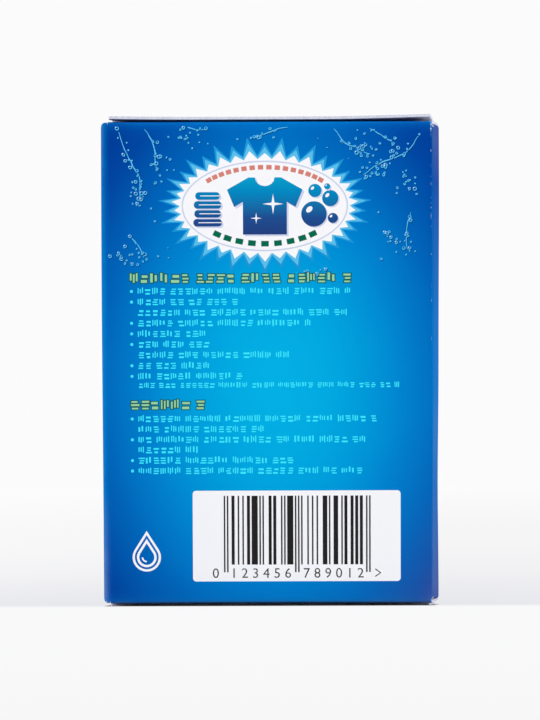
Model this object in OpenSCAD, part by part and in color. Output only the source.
// Laundry soap carton
//
// A bar of laundry soap in its closed folding carton, standing on one end.
// The blank is wrapped into a sleeve of four panels. The back panel laps over a
// glue flap on the right side, and both ends are closed by glued flaps.
//
// At each end the flaps lie in layers, one board thickness apiece:
//   dust flaps, folded in from the two side panels
//   inner flap, folded over from the back panel
//   outer flap, folded over from the front panel and glued down last
// So each panel ends where its own flap turns over: the front panel reaches the
// full height, the back panel stops one board short and the sides two boards.
//
// X runs across the back panel, Y from the back panel to the front panel, Z up.

/* [Carton] */
// Width across the back and front panels
carton_w = 65; // [45:1:90]
// Depth across the two side panels
carton_d = 30; // [22:1:45]
// Height over both closed ends
carton_h = 95.5; // [70:0.5:130]
// Thickness of the folded board
board = 0.55; // [0.4:0.05:0.75]

/* [Folds] */
// Outside radius of the upright folds between panels
upright_fold_r = 0.8; // [0.8:0.1:1.6]
// Outside radius of the folds that turn into the end flaps
crest_r = 0.6; // [0.3:0.05:0.7]
// Radius of the die-cut corners where a large panel meets the flap cuts
panel_corner_r = 0.8; // [0.4:0.1:2]

/* [Lap seam] */
// How far the raw edge of the back panel stops short of the right side
seam_setback = 0.4; // [0.2:0.1:1.2]

/* [Inner flaps] */
// Inset of the inner flaps from the left side
inner_inset = 1; // [0.5:0.1:3]
// Gap between the free edge of an inner flap and the front panel
inner_gap = 2; // [1:0.5:8]

/* [Outer flaps] */
// Inset of the outer flaps from the left side
outer_inset_left = 1.5; // [0.9:0.1:4]
// Inset of the outer flaps from the right side
outer_inset_right = 0.4; // [0.2:0.1:4]
// Radius of the two free corners of an outer flap
outer_corner_r = 1.2; // [0.5:0.1:3]
// How far the free edge of the top flap stops short of the back panel's face
top_setback = 0.2; // [0:0.1:3]
// How far the free edge of the bottom flap stops short of the back panel's face
bottom_setback = 1.5; // [0.2:0.1:4]

/* [Sprung edge] */
// Width of the strip along the free edge of the top flap that has no glue
loose_strip = 8; // [5:0.5:14]
// Rise of the free edge above the flap under it
edge_rise = 0.43; // [0.1:0.01:1.2]
// Further rise of the right corner, where the board has curled
corner_rise = 0.45; // [0:0.01:1.2]
// Length of free edge over which that corner curls
curl_length = 22; // [10:1:35]

/* [Hidden] */
$fn = 48;

left = -carton_w / 2;
right = carton_w / 2;
back = -carton_d / 2;
front = carton_d / 2;
seam_x = right - seam_setback;

// Depth that a layer is pressed into the one it is glued to
bond = 0.05;

// Heights at which the flap layers of the lower end start, and of the upper end finish
inner_low = board;
dust_low = 2 * board;
inner_high = carton_h - board;
dust_high = carton_h - 2 * board;

// Rows and columns of the sprung strip
corner_steps = 5;
strip_steps = 7;
column_steps = 26;

// Outline helpers

// What a radius takes off the corner at the origin of a shape that lies in x > 0, y > 0
module corner_waste(r) {
    difference() {
        translate([-r, -r]) square(2 * r);
        translate([r, r]) circle(r);
    }
}

// Rectangle between two points. radii go round from the low corner, anticlockwise
module rounded_rect(low, high, radii) {
    corners = [low, [high.x, low.y], high, [low.x, high.y]];
    difference() {
        translate(low) square(high - low);
        for (i = [0:3])
            if (radii[i] > 0)
                translate(corners[i]) rotate(90 * i) corner_waste(radii[i]);
    }
}

// An outline drawn in X and Z, run through the whole depth
module through_depth() {
    rotate([90, 0, 0]) linear_extrude(2 * carton_d, center = true) children();
}

// An outline drawn in Y and Z, run through the whole width
module through_width() {
    rotate([90, 0, 90]) linear_extrude(2 * carton_w, center = true) children();
}

// Plan of the wrapped sleeve, with its four upright folds
module wrapped_plan() {
    r = upright_fold_r;
    rounded_rect([left, back], [right, front], [r, r, r, r]);
}

// Sleeve

// Side panels and the glue flap behind the back panel, closed in by the dust flaps
module sleeve() {
    intersection() {
        linear_extrude(dust_high) intersection() {
            rounded_rect([left, back], [right, front],
                [upright_fold_r, 0, upright_fold_r, upright_fold_r]);
            rounded_rect([left, back + board], [right, front], [0, upright_fold_r, 0, 0]);
        }
        through_depth()
            rounded_rect([left, dust_low], [right, dust_high],
                [crest_r, crest_r, crest_r, crest_r]);
    }
}

// Back panel and its inner flaps

// Everything cut from the back panel ends on this curve at its two crests
module back_crests() {
    through_width()
        rounded_rect([back, inner_low], [front, inner_high], [crest_r, 0, 0, crest_r]);
}

module back_panel() {
    intersection() {
        linear_extrude(carton_h) intersection() {
            rounded_rect([left, back], [right, front], [upright_fold_r, 0, 0, 0]);
            translate([left, back]) square([seam_x - left, board + bond]);
        }
        through_depth()
            rounded_rect([left, inner_low], [seam_x, inner_high],
                [panel_corner_r, 0, 0, panel_corner_r]);
        back_crests();
    }
}

// An inner flap between two heights
module inner_flap(low, high) {
    x = left + inner_inset;
    intersection() {
        translate([x, back, low]) cube([seam_x - x, carton_d - board - inner_gap, high - low]);
        back_crests();
    }
}

// Front panel and its outer flaps

module front_crests() {
    through_width()
        rounded_rect([back, 0], [front, carton_h], [0, crest_r, crest_r, 0]);
}

module front_panel() {
    r = panel_corner_r;
    intersection() {
        linear_extrude(carton_h) intersection() {
            wrapped_plan();
            translate([left, front - board]) square([carton_w, board]);
        }
        through_depth() rounded_rect([left, 0], [right, carton_h], [r, r, r, r]);
        front_crests();
    }
}

// Plan of an outer flap that ends at y, with free corners of radius r
module outer_flap_plan(y, r) {
    rounded_rect([left + outer_inset_left, y], [right - outer_inset_right, front], [r, r, 0, 0]);
}

module bottom_flap() {
    intersection() {
        linear_extrude(board + bond) outer_flap_plan(back + bottom_setback, outer_corner_r);
        front_crests();
    }
}

module glued_top_flap() {
    intersection() {
        translate([0, 0, inner_high - bond])
            linear_extrude(board + bond) outer_flap_plan(glue_y, 0);
        front_crests();
    }
}

// Sprung edge of the top flap

free_y = back + top_setback;
glue_y = free_y + loose_strip;
curl_x = right - outer_inset_right - curl_length;

// Rows run from the free edge to just past the glue line. Each is [y, how far its ends
// draw in]. The first rows follow the arc of the free corners.
strip_rows = concat(
    [for (i = [0:corner_steps - 1])
        let (a = 90 * i / corner_steps)
            [free_y + outer_corner_r * (1 - cos(a)), outer_corner_r * (1 - sin(a))]],
    [for (i = [0:strip_steps])
        [free_y + outer_corner_r + (loose_strip - outer_corner_r) * i / strip_steps, 0]],
    [[glue_y + bond, 0]]
);

// How far out on the strip a row lies: 0 at the glue line, 1 at the free edge
function reach(y) = max(0, (glue_y - y) / loose_strip);

// A strip held at the glue line bends like a springboard
function springboard(s) = s * s * (3 - s) / 2;

function curl(x) = pow(max(0, (x - curl_x) / curl_length), 2);

function rise(x, y) = (edge_rise + corner_rise * curl(x)) * springboard(reach(y));

// The lower face starts pressed in like the glued part and comes free towards the edge
function lower_face(x, y) = inner_high + rise(x, y) - bond * (1 - reach(y));

function upper_face(x, y) = carton_h + rise(x, y);

module sprung_strip() {
    width = carton_w - outer_inset_left - outer_inset_right;
    row_count = len(strip_rows);
    per_row = column_steps + 1;
    layer = row_count * per_row;

    plan = [for (row = strip_rows)
        for (i = [0:column_steps])
            [left + outer_inset_left + row[1] + (width - 2 * row[1]) * i / column_steps, row[0]]];
    points = concat(
        [for (p = plan) [p.x, p.y, lower_face(p.x, p.y)]],
        [for (p = plan) [p.x, p.y, upper_face(p.x, p.y)]]
    );

    // Cells of the two faces, then the two walls along the rows and the two at their ends
    cells = [for (j = [0:row_count - 2]) for (i = [0:column_steps - 1]) j * per_row + i];
    lower = [for (k = cells) each [[k, k + 1, k + per_row + 1], [k, k + per_row + 1, k + per_row]]];
    upper = [for (f = lower) [f[2] + layer, f[1] + layer, f[0] + layer]];
    last_row = (row_count - 1) * per_row;
    free_wall = [for (i = [0:column_steps - 1]) [i, i + layer, i + 1 + layer, i + 1]];
    glue_wall = [for (i = [0:column_steps - 1])
        [last_row + i + 1, last_row + i + 1 + layer, last_row + i + layer, last_row + i]];
    left_wall = [for (j = [0:row_count - 2])
        let (k = j * per_row) [k + per_row, k + per_row + layer, k + layer, k]];
    right_wall = [for (j = [0:row_count - 2])
        let (k = j * per_row + column_steps) [k, k + layer, k + per_row + layer, k + per_row]];

    polyhedron(points, concat(lower, upper, free_wall, glue_wall, left_wall, right_wall));
}

// The whole carton, glued shut

module carton() {
    color("dodgerblue") union() {
        sleeve();
        back_panel();
        inner_flap(inner_low, dust_low + bond);
        inner_flap(dust_high - bond, inner_high);
        front_panel();
        bottom_flap();
        glued_top_flap();
        sprung_strip();
    }
}

carton();
